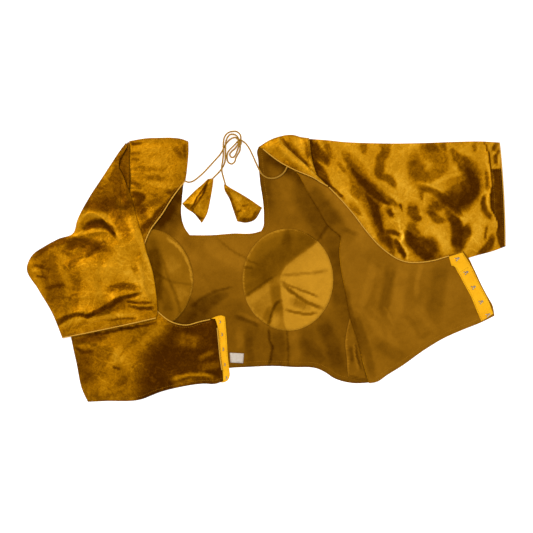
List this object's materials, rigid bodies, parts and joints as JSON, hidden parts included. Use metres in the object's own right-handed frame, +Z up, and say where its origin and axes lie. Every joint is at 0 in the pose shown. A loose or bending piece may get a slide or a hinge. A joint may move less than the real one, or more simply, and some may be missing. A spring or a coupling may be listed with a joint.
{
  "type": "choli blouse",
  "caption": "Back-opening choli blouse with short sleeves, bust cups and tied cords, laid open on a table with its front face down.",
  "frame": {"origin": "on the surface it rests on, under the middle of the garment's box", "axes": "+X along the spread garment towards its right sleeve, +Y towards its neck and shoulders, +Z up"},
  "size_m": [0.717, 0.4068, 0.0233],
  "materials": {
    "satin": "glossy gold satin",
    "lining": "matte cotton lining",
    "placket": "matte yellow cotton",
    "piping": "corded satin edge",
    "cord": "rolled satin cord",
    "label": "bare woven tape",
    "steel": "plain wire"
  },
  "bodies": {
    "root": {"back_left_shell": "satin", "back_right_lining": "lining", "back_right_shell": "satin", "cuff_piping_left": "piping", "cuff_piping_right": "piping", "cup_left": "lining", "cup_right": "lining", "dori_left_end": "cord", "dori_left_loop": "cord", "dori_left_start": "cord", "dori_right_end": "cord", "dori_right_loop": "cord", "dori_right_start": "cord", "eye_1": "steel", "eye_2": "steel", "eye_3": "steel", "eye_4": "steel", "eye_5": "steel", "eye_placket_left": "placket", "front_lining": "lining", "front_shell": "satin", "hook_1": "steel", "hook_2": "steel", "hook_3": "steel", "hook_4": "steel", "hook_5": "steel", "hook_placket_right": "placket", "knot": "cord", "label": "label", "neck_piping_left": "piping", "neck_piping_right": "piping", "opening_piping_left": "piping", "side_allowance_right": "satin", "sleeve_cap_left": "satin", "sleeve_left": "satin", "sleeve_right": "satin", "strap_piping_right": "piping", "strap_right_lower": "satin", "strap_right_rolled": "satin", "tassel_left": "satin", "tassel_right": "satin"}
  },
  "joints": []
}
